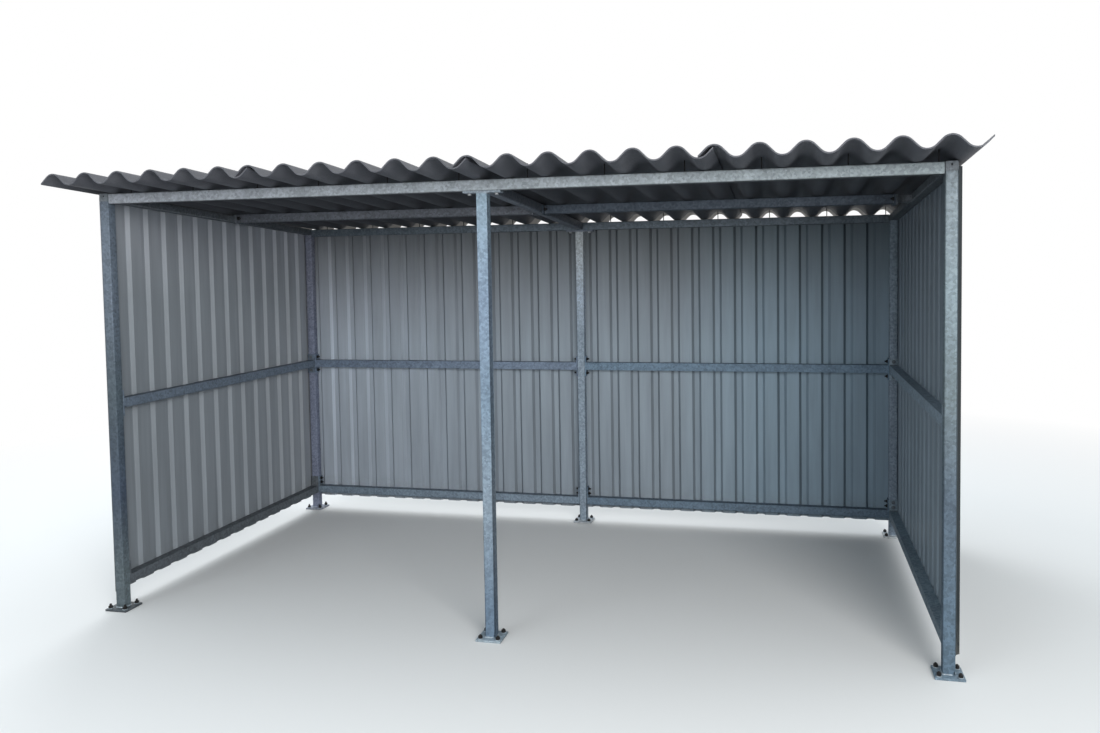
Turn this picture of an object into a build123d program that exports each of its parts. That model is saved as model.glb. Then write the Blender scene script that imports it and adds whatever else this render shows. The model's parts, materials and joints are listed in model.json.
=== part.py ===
from build123d import *
from math import cos, radians, sin, tan, atan
import os

os.makedirs("parts", exist_ok=True)

# Lengths are in millimetres. X runs along the open front, Y goes in under the roof, Z is up.
# Inside this file Y = 0 is the front face of the front posts, and the finished pieces are
# moved so that the origin is on the ground, under the middle of the roof's outline.

# Frame of square hollow section
frame_width = 4050
frame_depth = 2000
front_height = 2127
rear_height = 2025
tube = 50
tube_wall = 3
eave_rail_height = 40
vent_hole = 8
vent_inset = 14
notch_reach = 9
notch_length = 12
hole_sides = 8

# Feet and plates of the posts
foot_plate = 120
foot_thickness = 10
foot_hole = 14
foot_hole_spacing = 85
drain_hole = 22
drain_notch = 16
head_plate_length = 180
head_plate_thickness = 10
head_hole = 11
head_hole_spacing = 130

# Rails between the posts
middle_rail_height = 1037
bottom_rail_height = 120
end_plate_thickness = 8
middle_end_plate = 134
middle_hole_spacing = 94
bottom_end_plate = 118
rail_hole = 12
bottom_hole_rise = 22
bottom_hole_spacing = 30
joint_plate = 5

# Purlin at mid depth and the stubs that carry it
purlin_stub = 80
stub_tube = 40
purlin_plate_above = -2.4
purlin_plate_below = 7

# Trapezoidal steel cladding
sheet_steel = 0.75
rib_pitch = 137.5
rib_depth = 18
rib_base = 60
rib_crown = 30
ribs_per_sheet = 8
cladding_bottom = 92
first_rib = 45
side_first_rib = 40
side_top_gap = 20
rear_top_gap = 6
lap_lip = 12
lap_clearance = 0.15
edge_lip = 8

# Corrugated fibre-cement roof
wave_pitch = 177
wave_height = 51
wave_thickness = 6
flank_angle = 45
roof_sheets = 4
waves_per_sheet = 6
lap_shift = 27
right_edge_short = 30
sheet_clearance = 0.5
roof_length = 2440
front_overhang = 280
roof_seat = 0.3

# Places that follow from the sizes above
half_width = frame_width / 2
inner_width = half_width - tube
rear_face = frame_depth - tube
roof_slope = atan((front_height - rear_height) / rear_face)
mid_depth = frame_depth / 2


def roof_plane(y):
    # height of the plane that the roof sheets rest on
    return front_height - (y - tube) * tan(roof_slope)


roof_run = roof_length * cos(roof_slope)
roof_rear = -front_overhang + roof_run + (wave_height + wave_thickness + roof_seat) * sin(roof_slope)
origin_y = (roof_rear - front_overhang) / 2


def save(shape, name):
    # one finished piece, moved to the part's own origin
    export_step(shape.moved(Location((0, -origin_y, 0))), "parts/" + name + ".step")


def block(x0, x1, y0, y1, z0, z1):
    return Pos((x0 + x1) / 2, (y0 + y1) / 2, (z0 + z1) / 2) * Box(x1 - x0, y1 - y0, z1 - z0)


turned_to = {"x": Rot(0, 90, 0), "y": Rot(90, 0, 0), "z": Rot(0, 0, 0)}


def hole(axis, x, y, z, diameter, depth):
    # a round cutter centred on a point, along X, Y or Z
    return Pos(x, y, z) * turned_to[axis] * Cylinder(diameter / 2, depth)


def small_hole(axis, x, y, z, diameter, depth):
    # as hole, with few flat sides, for the many small holes that a bolt or shadow fills
    section = RegularPolygon(diameter / 2, hole_sides)
    return Pos(x, y, z) * turned_to[axis] * extrude(section, amount=depth / 2, both=True)


def corner_notch(axis, x, y, z, length):
    # a cutter that takes the corner off a tube, so that zinc and air get past its closed end
    side = notch_reach * 2 ** 0.5
    cutter = Rot(0, 0, 45) * Box(side, side, length)
    return Pos(x, y, z) * turned_to[axis] * cutter


def square_tube(axis, start, end, a, b, size=tube):
    # hollow section along an axis, a and b being its low corner across that axis
    a_end = a + size
    b_end = b + size
    inset = tube_wall
    if axis == "x":
        outer = block(start, end, a, a_end, b, b_end)
        inner = block(start, end, a + inset, a_end - inset, b + inset, b_end - inset)
    elif axis == "y":
        outer = block(a, a_end, start, end, b, b_end)
        inner = block(a + inset, a_end - inset, start, end, b + inset, b_end - inset)
    else:
        outer = block(a, a_end, b, b_end, start, end)
        inner = block(a + inset, a_end - inset, b + inset, b_end - inset, start, end)
    return outer - inner


# Posts
def post_body(x, y, top):
    # square tube on its foot plate, with anchor holes, a zinc drain hole and a corner notch
    centre_x = x + tube / 2
    centre_y = y + tube / 2
    plate = Pos(centre_x, centre_y, foot_thickness / 2) * Box(foot_plate, foot_plate, foot_thickness)
    reach = foot_hole_spacing / 2
    for side_x in (-1, 1):
        for side_y in (-1, 1):
            anchor_x = centre_x + side_x * reach
            anchor_y = centre_y + side_y * reach
            plate -= hole("z", anchor_x, anchor_y, foot_thickness / 2, foot_hole, 3 * foot_thickness)
    drain_depth = 3 * foot_thickness
    plate -= small_hole("z", centre_x, centre_y, foot_thickness / 2, drain_hole, drain_depth)
    shaft = square_tube("z", foot_thickness, top, x, y)
    shaft -= corner_notch("z", x + tube, y, foot_thickness, 2 * drain_notch)
    return plate + shaft


def corner_post(x, y):
    # the head is cut to the roof's slope under the eave rail, and left open into it
    tall = post_body(x, y, front_height)
    above = Plane.YZ * make_face(Polyline(
        (y - foot_plate, eave_underside(y - foot_plate)),
        (y + foot_plate, eave_underside(y + foot_plate)),
        (y + foot_plate, 2 * front_height),
        (y - foot_plate, 2 * front_height),
        close=True))
    return tall - Pos(x + tube / 2, 0, 0) * extrude(above, amount=foot_plate, both=True)


def eave_underside(y):
    return roof_plane(y) - eave_rail_height / cos(roof_slope)


def middle_post(y, beam_top):
    # the head plate carries the beam and is bolted up into it
    underside = beam_top - tube
    top = underside - head_plate_thickness
    body = post_body(-tube / 2, y, top)
    head = block(-head_plate_length / 2, head_plate_length / 2, y, y + tube, top, underside)
    for side in (-1, 1):
        bolt_x = side * head_hole_spacing / 2
        head -= small_hole("z", bolt_x, y + tube / 2, top, head_hole, 4 * head_plate_thickness)
    return body + head


post_places = {"left": -half_width, "right": inner_width}
for side, x in post_places.items():
    save(corner_post(x, 0), "front_" + side + "_post")
    save(corner_post(x, rear_face), "rear_" + side + "_post")
save(middle_post(0, front_height), "front_middle_post")
save(middle_post(rear_face, rear_height), "rear_middle_post")


# Beams along the front and the rear, closed by welded end plates
def cross_beam(y, top):
    z = top - tube
    beam = square_tube("x", -inner_width + joint_plate, inner_width - joint_plate, y, z)
    for side in (-1, 1):
        inside = side * (inner_width - joint_plate)
        outside = side * inner_width
        beam += block(min(inside, outside), max(inside, outside), y, y + tube, z, top)
        notch_x = side * (inner_width - joint_plate - notch_length / 2)
        beam -= corner_notch("x", notch_x, y + tube, z, notch_length)
        bolt_x = side * head_hole_spacing / 2
        beam -= small_hole("z", bolt_x, y + tube / 2, z, head_hole, 4 * tube_wall)
    return beam


save(cross_beam(0, front_height), "front_beam")
save(cross_beam(rear_face, rear_height), "rear_beam")


# Sloping members under the roof
def sloping_tube(x, start, end, height):
    # hollow section whose top lies in the roof's plane and whose ends are cut upright
    drop = height / cos(roof_slope)
    wall_drop = tube_wall / cos(roof_slope)

    def side_view(top_inset, bottom_inset, y0, y1):
        return make_face(Plane.YZ * Polyline(
            (y0, roof_plane(y0) - drop + bottom_inset),
            (y1, roof_plane(y1) - drop + bottom_inset),
            (y1, roof_plane(y1) - top_inset),
            (y0, roof_plane(y0) - top_inset),
            close=True))

    outer = extrude(side_view(0, 0, start, end), amount=tube / 2, both=True)
    cavity = side_view(wall_drop, wall_drop, start + joint_plate, end - joint_plate)
    inner = extrude(cavity, amount=tube / 2 - tube_wall, both=True)
    return Pos(x + tube / 2, 0, 0) * (outer - inner)


purlin_top = roof_plane(mid_depth + tube / 2)
purlin_base = purlin_top - tube
stub_base = purlin_base + (tube - stub_tube) / 2


def purlin_plate(low_x):
    # as long as a middle rail's plate but lying level, with a bolt before and behind the tube
    middle_x = low_x + end_plate_thickness / 2
    plate = block(
        low_x, low_x + end_plate_thickness,
        mid_depth - middle_end_plate / 2, mid_depth + middle_end_plate / 2,
        purlin_base - purlin_plate_below, purlin_top + purlin_plate_above)
    for side in (-1, 1):
        bolt_y = mid_depth + side * middle_hole_spacing / 2
        bolt_z = purlin_base + tube / 2
        plate -= small_hole("x", middle_x, bolt_y, bolt_z, rail_hole, 2 * end_plate_thickness)
    return plate


def eave_rail(side):
    # rail on the corner posts, closed by caps with a vent hole, with the purlin's stub inside
    x = post_places[side]
    rail = sloping_tube(x, 0, frame_depth, eave_rail_height)
    for end_y in (0, frame_depth):
        vent_z = roof_plane(end_y) - vent_inset
        rail -= small_hole("y", x + tube / 2, end_y, vent_z, vent_hole, 4 * joint_plate)
    inward = 1 if side == "left" else -1
    face = inward * -inner_width
    plate_near = face + inward * (purlin_stub - end_plate_thickness)
    plate_far = face + inward * purlin_stub
    low_x = min(face, plate_near)
    high_x = max(face, plate_near)
    stub = square_tube("x", low_x, high_x, mid_depth - stub_tube / 2, stub_base, stub_tube)
    return rail + stub + purlin_plate(min(plate_near, plate_far))


for side in post_places:
    save(eave_rail(side), side + "_eave_rail")

rafter = sloping_tube(-tube / 2, tube, rear_face, tube)
for notch_y in (tube + joint_plate + notch_length / 2, rear_face - joint_plate - notch_length / 2):
    underside = roof_plane(notch_y) - tube / cos(roof_slope)
    rafter -= corner_notch("y", tube / 2, notch_y, underside, notch_length)
save(rafter, "centre_rafter")


def purlin(side):
    # level tube between the rafter and the stub on the eave rail
    direction = -1 if side == "left" else 1
    near = direction * tube / 2
    far = direction * (inner_width - purlin_stub)
    start = min(near, far)
    end = max(near, far)
    inside_start = start + end_plate_thickness
    inside_end = end - end_plate_thickness
    low_y = mid_depth - tube / 2
    high_y = mid_depth + tube / 2
    piece = square_tube("x", inside_start, inside_end, low_y, purlin_base)
    piece += purlin_plate(start)
    piece += purlin_plate(inside_end)
    for place in (inside_start + notch_length / 2, inside_end - notch_length / 2):
        piece -= corner_notch("x", place, high_y, purlin_base, notch_length)
    return piece


save(purlin("left"), "left_purlin")
save(purlin("right"), "right_purlin")


# Rails with bolted end plates
def rail(axis, start, end, across, z, plate_low, plate_high, hole_heights):
    inside_start = start + end_plate_thickness
    inside_end = end - end_plate_thickness
    piece = square_tube(axis, inside_start, inside_end, across, z)
    for low in (start, inside_end):
        high = low + end_plate_thickness
        middle = (low + high) / 2
        if axis == "x":
            plate = block(low, high, across, across + tube, plate_low, plate_high)
        else:
            plate = block(across, across + tube, low, high, plate_low, plate_high)
        depth = 2 * end_plate_thickness
        for height in hole_heights:
            if axis == "x":
                plate -= small_hole("x", middle, across + tube / 2, height, rail_hole, depth)
            else:
                plate -= small_hole("y", across + tube / 2, middle, height, rail_hole, depth)
        piece += plate
    for place in (inside_start + notch_length / 2, inside_end - notch_length / 2):
        if axis == "x":
            piece -= corner_notch("x", place, across + tube, z, notch_length)
        else:
            piece -= corner_notch("y", across + tube, place, z, notch_length)
    return piece


def middle_rail(axis, start, end, across):
    centre = middle_rail_height + tube / 2
    low = centre - middle_end_plate / 2
    heights = (centre - middle_hole_spacing / 2, centre + middle_hole_spacing / 2)
    return rail(axis, start, end, across, middle_rail_height, low, low + middle_end_plate, heights)


def bottom_rail(axis, start, end, across):
    top = bottom_rail_height + tube
    heights = (top + bottom_hole_rise, top + bottom_hole_rise + bottom_hole_spacing)
    high = bottom_rail_height + bottom_end_plate
    return rail(axis, start, end, across, bottom_rail_height, bottom_rail_height, high, heights)


rail_runs = {
    "left": ("y", tube, rear_face, -half_width),
    "right": ("y", tube, rear_face, inner_width),
    "rear_left": ("x", -inner_width, -tube / 2, rear_face),
    "rear_right": ("x", tube / 2, inner_width, rear_face),
}
for name, run in rail_runs.items():
    save(middle_rail(*run), name + "_middle_rail")
    save(bottom_rail(*run), name + "_bottom_rail")


# Cladding: the profile is a path across the ribs, given a thickness on its outer side
def thicken(path, thickness):
    # closed outline between a path and its parallel, with mitred corners
    path = [Vector(x, y) for x, y in path]
    runs = [(b - a).normalized() for a, b in zip(path, path[1:])]
    outer = []
    for i, point in enumerate(path):
        before = runs[max(i - 1, 0)]
        after = runs[min(i, len(runs) - 1)]
        bisector = (Vector(-before.Y, before.X) + Vector(-after.Y, after.X)).normalized()
        reach = thickness / bisector.dot(Vector(-after.Y, after.X))
        outer.append(point + bisector * reach)
    return make_face(Polyline(*path, *reversed(outer), close=True))


def rib_path(centre, rise=0.0, spread=0.0):
    # one rib as four corners, raised and widened where it laps over another sheet's rib
    half_base = rib_base / 2 + spread
    half_crown = rib_crown / 2 + spread
    return [
        (centre - half_base, rise),
        (centre - half_crown, rib_depth + rise),
        (centre + half_crown, rib_depth + rise),
        (centre + half_base, rise),
    ]


lap_rise = sheet_steel + lap_clearance
flank_run = (rib_base - rib_crown) / 2
flank_length = (flank_run ** 2 + rib_depth ** 2) ** 0.5
lap_spread = lap_rise * (flank_length - flank_run) / rib_depth


def sheet_profile(start, end, first, last, laps_before, laps_after):
    # ribs stand at first, first + rib_pitch and so on, up to last; a sheet that laps over the
    # one before it starts with a lip and a larger rib, and one that is lapped ends in its rib
    count = round((last - first) / rib_pitch) + 1
    path = []
    for i in range(count):
        centre = first + i * rib_pitch
        if i == 0 and laps_before:
            raised = rib_path(centre, lap_rise, lap_spread)
            path.append((raised[0][0] - lap_lip, lap_rise))
            path += raised[:3]
            foot = raised[3][0] + lap_rise * flank_run / rib_depth
            path.append((foot, 0))
        elif i == count - 1 and laps_after:
            rib = rib_path(centre)
            path += rib[:3]
            share = 1 - edge_lip / rib_depth
            path.append((rib[2][0] + flank_run * share, rib_depth * (1 - share)))
        else:
            path += rib_path(centre)
    if not laps_before:
        path.insert(0, (start, 0))
    if not laps_after:
        path.append((end, 0))
    return thicken(path, sheet_steel)


def wall_sheets(start, end, first):
    # splits a wall into sheets of ribs_per_sheet, and gives each profile in turn
    ribs = int((end - first - rib_base / 2) // rib_pitch) + 1
    cuts = list(range(0, ribs - 1, ribs_per_sheet))
    for number, low in enumerate(cuts):
        high = min(low + ribs_per_sheet, ribs - 1)
        low_rib = first + low * rib_pitch
        high_rib = first + high * rib_pitch
        laps_after = number < len(cuts) - 1
        yield sheet_profile(start, end, low_rib, high_rib, low > 0, laps_after)


def rear_cladding():
    # each sheet hangs on the rear rails and stops under the roof sheets
    top = rear_height - rear_top_gap
    reach = half_width + rib_depth
    first = first_rib - half_width
    for number, profile in enumerate(wall_sheets(-reach, reach, first), 1):
        flat = Location((0, frame_depth, cladding_bottom)) * profile
        save(extrude(flat, amount=top - cladding_bottom, dir=(0, 0, 1)), f"rear_wall_sheet_{number}")


def side_cladding(side):
    # the heads are cut to the roof's slope
    for number, profile in enumerate(wall_sheets(0, frame_depth, side_first_rib), 1):
        standing = extrude(profile, amount=front_height - cladding_bottom, dir=(0, 0, 1))
        if side == "left":
            standing = Rot(0, 0, 90) * standing
        else:
            standing = mirror(Rot(0, 0, 90) * standing, Plane.YZ)
        x = -half_width if side == "left" else half_width
        standing = Pos(x, 0, cladding_bottom) * standing
        over = make_face(Plane.YZ * Polyline(
            (-tube, roof_plane(-tube) - side_top_gap),
            (frame_depth + tube, roof_plane(frame_depth + tube) - side_top_gap),
            (frame_depth + tube, 2 * front_height),
            (-tube, 2 * front_height),
            close=True))
        standing -= Pos(x, 0, 0) * extrude(over, amount=3 * rib_depth, both=True)
        save(standing, f"{side}_wall_sheet_{number}")


rear_cladding()
side_cladding("left")
side_cladding("right")


# Roof: a wave of equal arcs joined by straight flanks
flank = radians(flank_angle)
half_wave = wave_pitch / 2
arc_share = 2 * sin(flank) - 2 * (1 - cos(flank)) / tan(flank)
wave_radius = (half_wave - wave_height / tan(flank)) / arc_share


def wave_point(phase, offset):
    # a point of the wave at a distance along it, at an offset to the sheet's middle line
    crest_middle = wave_thickness / 2 + wave_height - wave_radius
    trough_middle = wave_thickness / 2 + wave_radius
    turn = round(phase / half_wave)
    centre = turn * half_wave
    up = turn % 2 == 0
    radius = wave_radius + offset if up else wave_radius - offset
    limit = radius * sin(flank)
    across = phase - centre
    height = (radius ** 2 - min(abs(across), limit) ** 2) ** 0.5
    if abs(across) > limit:
        height -= (abs(across) - limit) * tan(flank)
    level = crest_middle + height if up else trough_middle - height
    return Vector(phase, level)


def wave_edges(start, end, offset):
    # arcs over crests and troughs with flanks between them, from start to end
    edges = []
    turn = round(start / half_wave)
    here = start
    while here < end - 0.01:
        up = turn % 2 == 0
        radius = wave_radius + offset if up else wave_radius - offset
        limit = radius * sin(flank)
        arc_end = min(turn * half_wave + limit, end)
        if here < arc_end:
            middle = (here + arc_end) / 2
            edges.append(ThreePointArc(
                wave_point(here, offset), wave_point(middle, offset), wave_point(arc_end, offset)))
            here = arc_end
        if here < end:
            next_radius = wave_radius - offset if up else wave_radius + offset
            flank_end = min((turn + 1) * half_wave - next_radius * sin(flank), end)
            edges.append(Line(wave_point(here, offset), wave_point(flank_end, offset)))
            here = flank_end
        turn += 1
    return edges


def left_edge():
    # the sheet reaches left from its first crest until it nears the sheet that it laps over
    reach = half_wave
    while True:
        own = wave_point(-reach, -wave_thickness / 2).Y
        under = wave_point(-reach - lap_shift, wave_thickness / 2).Y
        if own - under >= sheet_clearance:
            return reach
        reach -= sheet_clearance


sheet_cover = waves_per_sheet * wave_pitch - lap_shift
sheet_left = -left_edge()
sheet_right = waves_per_sheet * wave_pitch - right_edge_short
roof_width = (roof_sheets - 1) * sheet_cover + sheet_right - sheet_left


def roof_sheet(number):
    # crests stand at 0, wave_pitch and so on from the sheet's first crest
    top = wave_edges(sheet_left, sheet_right, wave_thickness / 2)
    bottom = wave_edges(sheet_left, sheet_right, -wave_thickness / 2)
    left = Line(bottom[0] @ 0, top[0] @ 0)
    right = Line(bottom[-1] @ 1, top[-1] @ 1)
    profile = make_face(top + bottom + [left, right])
    first_crest = -roof_width / 2 - sheet_left + number * sheet_cover
    seat = Plane(
        origin=(first_crest, -front_overhang, roof_plane(-front_overhang) + roof_seat),
        x_dir=(1, 0, 0), z_dir=(0, -cos(roof_slope), sin(roof_slope)))
    return extrude(seat * profile, amount=-roof_length)


for number in range(roof_sheets):
    save(roof_sheet(number), f"roof_sheet_{number + 1}")
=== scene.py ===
import json
from math import atan2, cos, pi, radians, sin

import bmesh
import bpy
import numpy as np
from mathutils import Matrix, Vector


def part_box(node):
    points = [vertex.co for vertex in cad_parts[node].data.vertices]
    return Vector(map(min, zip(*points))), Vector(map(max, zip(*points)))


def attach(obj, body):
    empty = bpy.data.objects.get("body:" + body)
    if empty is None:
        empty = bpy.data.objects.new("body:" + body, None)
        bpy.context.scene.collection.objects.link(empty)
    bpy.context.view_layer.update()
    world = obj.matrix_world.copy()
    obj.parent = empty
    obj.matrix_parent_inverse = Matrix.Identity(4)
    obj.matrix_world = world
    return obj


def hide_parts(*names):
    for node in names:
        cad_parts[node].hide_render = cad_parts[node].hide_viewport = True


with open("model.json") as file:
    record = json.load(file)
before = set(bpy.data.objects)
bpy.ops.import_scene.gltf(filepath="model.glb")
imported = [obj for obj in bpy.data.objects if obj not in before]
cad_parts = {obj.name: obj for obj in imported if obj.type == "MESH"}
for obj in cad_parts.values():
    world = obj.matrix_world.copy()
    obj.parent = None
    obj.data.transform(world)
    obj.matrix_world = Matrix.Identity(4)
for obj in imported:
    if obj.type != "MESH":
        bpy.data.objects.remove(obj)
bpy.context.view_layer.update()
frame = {"nodes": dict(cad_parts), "record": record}
nodes = frame["nodes"]
scene = bpy.context.scene
scene.view_settings.view_transform = "Standard"
print("frame loaded:", len(nodes), "nodes")

# Sizes of the frame that the added pieces are laid out by, in metres
frameSizes = {
    "tube": 0.050,
    "tubeCorner": 0.0055,
    "footPlate": 0.010,
    "headPlate": 0.010,
    "endPlate": 0.008,
    "purlinPlateDrop": 0.007,
    "drainNotch": 0.012,
}
halfTube = frameSizes["tube"] / 2
postNames = [name for name in nodes if name.endswith("_post")]
railNames = [name for name in nodes if name.endswith("_rail") and "eave" not in name]
purlinNames = ("left_purlin", "right_purlin")


# The view: where the photograph was taken from, found from the shelter's own straight lines
view = {
    "imageWidth": 1100,
    "imageHeight": 733,
    "focalPixels": 884.99,
    "centreX": 584.89,
    "centreY": 312.94,
    "place": (1.34093, -4.77194, 1.71434),
    "turn": 0.2227,
    "tilt": -0.0495,
    "lean": -0.0147,
}


def makeCamera():
    # axes: right and forward from the turn and tilt, then both across axes leaned about forward
    turn, tilt, lean = view["turn"], view["tilt"], view["lean"]
    right = Vector((cos(turn), sin(turn), 0))
    forward = Vector((-sin(turn) * cos(tilt), cos(turn) * cos(tilt), sin(tilt)))
    up = right.cross(forward)
    across = cos(lean) * right + sin(lean) * up
    upward = cos(lean) * up - sin(lean) * right
    camera = bpy.data.cameras.new("camera")
    camera.sensor_width = 36
    camera.lens = view["focalPixels"] / view["imageWidth"] * camera.sensor_width
    camera.shift_x = (view["imageWidth"] / 2 - view["centreX"]) / view["imageWidth"]
    camera.shift_y = (view["centreY"] - view["imageHeight"] / 2) / view["imageWidth"]
    camera.clip_end = 200
    seat = bpy.data.objects.new("camera", camera)
    scene.collection.objects.link(seat)
    seat.matrix_world = Matrix((
        (across.x, upward.x, -forward.x, view["place"][0]),
        (across.y, upward.y, -forward.y, view["place"][1]),
        (across.z, upward.z, -forward.z, view["place"][2]),
        (0, 0, 0, 1),
    ))
    scene.camera = seat


makeCamera()
print("camera placed")


# Node helpers: each adds one node and gives back the output that the next one reads
def newMaterial(name):
    material = bpy.data.materials.new(name)
    material.use_nodes = True
    tree = material.node_tree
    tree.nodes.clear()
    output = tree.nodes.new("ShaderNodeOutputMaterial")
    shader = tree.nodes.new("ShaderNodeBsdfPrincipled")
    tree.links.new(shader.outputs["BSDF"], output.inputs["Surface"])
    return material, tree, shader


def feed(tree, node, inputs):
    # an output is linked to the input of that name or number, a number or a colour is set on it
    for key, value in inputs.items():
        if isinstance(value, bpy.types.NodeSocket):
            tree.links.new(value, node.inputs[key])
        elif isinstance(value, tuple):
            node.inputs[key].default_value = (*value, 1.0)
        else:
            node.inputs[key].default_value = value
    return node


def surfacePoint(tree, stretch=(1, 1, 1), shift=(0, 0, 0)):
    # the object's own coordinates in metres, stretched along each axis
    place = tree.nodes.new("ShaderNodeTexCoord")
    mapping = tree.nodes.new("ShaderNodeMapping")
    mapping.inputs["Scale"].default_value = stretch
    mapping.inputs["Location"].default_value = shift
    tree.links.new(place.outputs["Object"], mapping.inputs["Vector"])
    return mapping.outputs["Vector"]


def noise(tree, point, scale, detail=3.0, roughness=0.5, distortion=0.0):
    node = feed(tree, tree.nodes.new("ShaderNodeTexNoise"), {
        "Vector": point, "Scale": scale, "Detail": detail, "Roughness": roughness,
        "Distortion": distortion})
    return node.outputs["Fac"]


def cells(tree, point, scale, output="Color"):
    node = tree.nodes.new("ShaderNodeTexVoronoi")
    return feed(tree, node, {"Vector": point, "Scale": scale}).outputs[output]


def ramp(tree, factor, stops):
    # stops are (place, grey or colour) pairs
    node = tree.nodes.new("ShaderNodeValToRGB")
    elements = node.color_ramp.elements
    while len(elements) < len(stops):
        elements.new(1.0)
    for element, (place, shade) in zip(elements, stops):
        element.position = place
        colour = (shade,) * 3 if isinstance(shade, (int, float)) else shade
        element.color = (*colour, 1.0)
    tree.links.new(factor, node.inputs["Fac"])
    return node.outputs["Color"]


def blendColours(tree, factor, first, second, kind="MIX"):
    # the node's inputs 6 and 7 and its output 2 are those for colour
    node = tree.nodes.new("ShaderNodeMix")
    node.data_type = "RGBA"
    node.blend_type = kind
    return feed(tree, node, {0: factor, 6: first, 7: second}).outputs[2]


def rescale(tree, value, low, high, newLow=0.0, newHigh=1.0):
    node = feed(tree, tree.nodes.new("ShaderNodeMapRange"), {
        "Value": value, "From Min": low, "From Max": high, "To Min": newLow, "To Max": newHigh})
    return node.outputs["Result"]


def scaled(tree, colour, factor):
    # a colour made lighter or darker by a number or an output
    node = tree.nodes.new("ShaderNodeVectorMath")
    node.operation = "SCALE"
    return feed(tree, node, {0: colour, "Scale": factor}).outputs["Vector"]


def arithmetic(tree, kind, first, second):
    node = tree.nodes.new("ShaderNodeMath")
    node.operation = kind
    return feed(tree, node, {0: first, 1: second}).outputs["Value"]


def times(tree, first, second):
    return arithmetic(tree, "MULTIPLY", first, second)


def plus(tree, first, second):
    return arithmetic(tree, "ADD", first, second)


def weighted(tree, parts):
    # the sum of some outputs, each multiplied by its own share
    total = times(tree, *parts[0])
    for output, share in parts[1:]:
        total = plus(tree, total, times(tree, output, share))
    return total


def axisOf(tree, point, axis):
    node = tree.nodes.new("ShaderNodeSeparateXYZ")
    tree.links.new(point, node.inputs["Vector"])
    return node.outputs[axis]


def rampAlong(tree, point, axis, stops):
    # colour by the place along one axis; stops are (metres, colour), a single one holds all over
    if len(stops) == 1:
        plain = tree.nodes.new("ShaderNodeRGB")
        plain.outputs["Color"].default_value = (*stops[0][1], 1.0)
        return plain.outputs["Color"]
    low, high = stops[0][0], stops[-1][0]
    share = rescale(tree, axisOf(tree, point, axis), low, high)
    return ramp(tree, share, [((place - low) / (high - low), colour) for place, colour in stops])


def facingOf(tree, direction):
    # how far the face looks along a direction: 1 straight along it, -1 straight against it
    face = tree.nodes.new("ShaderNodeNewGeometry")
    product = tree.nodes.new("ShaderNodeVectorMath")
    product.operation = "DOT_PRODUCT"
    product.inputs[1].default_value = direction
    tree.links.new(face.outputs["True Normal"], product.inputs[0])
    return product.outputs["Value"]


def bump(tree, height, distance, strength, under=None):
    inputs = {"Height": height, "Distance": distance, "Strength": strength}
    if under is not None:
        inputs["Normal"] = under
    return feed(tree, tree.nodes.new("ShaderNodeBump"), inputs).outputs["Normal"]


def seenDirectly(tree):
    # 1 for what the camera sees straight on, in metal or through glass, 0 for light that bounces
    rays = tree.nodes.new("ShaderNodeLightPath")
    seen = plus(tree, rays.outputs["Is Camera Ray"], rays.outputs["Is Glossy Ray"])
    seen = plus(tree, seen, rays.outputs["Is Transmission Ray"])
    return arithmetic(tree, "MINIMUM", seen, 1.0)


# Materials
galvanisedLook = {
    "spangleScale": 95,
    "grainScale": 460,
    "cloudScale": 7,
    "wanderScale": 34,
    "streakScale": 60,
    "speckScale": 85,
    "spangleShare": 0.25,
    "grainShare": 0.33,
    "cloudShare": 0.24,
    "wanderShare": 0.18,
    "levelRange": (0.34, 0.66),
    "contrast": 0.27,
    "whiteRust": 0.12,
    "whiteRustRange": (0.56, 0.74),
    "specks": 0.30,
    "speckRange": (0.66, 0.74),
    "metallic": 0.25,
    "roughness": (0.62, 0.46),
}


def galvanised(name, stops, axis=2, under=0.0, paintedTopShade=0.0, right=0.0):
    # spangle cells of differing grey under fine grain, cloudy dull patches and run-off streaks,
    # over a tone that changes along the axis; the underside, the upper side and the right-hand side
    # are painted shade, darker by their shares, or painted light where a share is below zero
    material, tree, shader = newMaterial(name)
    look = galvanisedLook
    point = surfacePoint(tree)
    wander = noise(tree, point, look["wanderScale"], 2)
    spangle = axisOf(tree, cells(tree, point, look["spangleScale"]), 0)
    grain = noise(tree, point, look["grainScale"], 2, 0.6)
    clouds = noise(tree, surfacePoint(tree, (1, 1, 0.6)), look["cloudScale"], 4, 0.6, 0.5)
    streaks = noise(tree, surfacePoint(tree, (1, 1, 0.04)), look["streakScale"], 3, 0.6)
    specks = noise(tree, surfacePoint(tree, (1, 1, 0.7), (2, 7, 4)), look["speckScale"], 3, 0.7)
    level = weighted(tree, [
        (spangle, look["spangleShare"]), (grain, look["grainShare"]),
        (clouds, look["cloudShare"]), (wander, look["wanderShare"]),
    ])
    low, high = look["levelRange"]
    upward = facingOf(tree, (0, 0, 1))
    rightward = facingOf(tree, (1, 0, 0))
    gains = [
        rescale(tree, level, low, high, 1 - look["contrast"], 1 + look["contrast"]),
        rescale(tree, streaks, *look["whiteRustRange"], 1.0, 1 + look["whiteRust"]),
        rescale(tree, specks, *look["speckRange"], 1.0, 1 - look["specks"]),
        # painted shade on the underside, the upper side and the right-hand side; a share below zero
        # paints light there instead
        rescale(tree, upward, -0.9, -0.3, 1 - under, 1.0),
        rescale(tree, upward, 0.3, 0.9, 1.0, 1 - paintedTopShade),
        rescale(tree, rightward, 0.3, 0.9, 1.0, 1 - right),
    ]
    base = rampAlong(tree, point, axis, stops)
    for gain in gains:
        base = scaled(tree, base, gain)
    rough = bump(tree, grain, 0.0003, 0.3)
    feed(tree, shader, {
        "Base Color": base,
        "Metallic": look["metallic"],
        "Roughness": rescale(tree, level, low, high, *look["roughness"]),
        "Normal": bump(tree, clouds, 0.004, 0.2, rough),
    })
    return material
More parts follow.
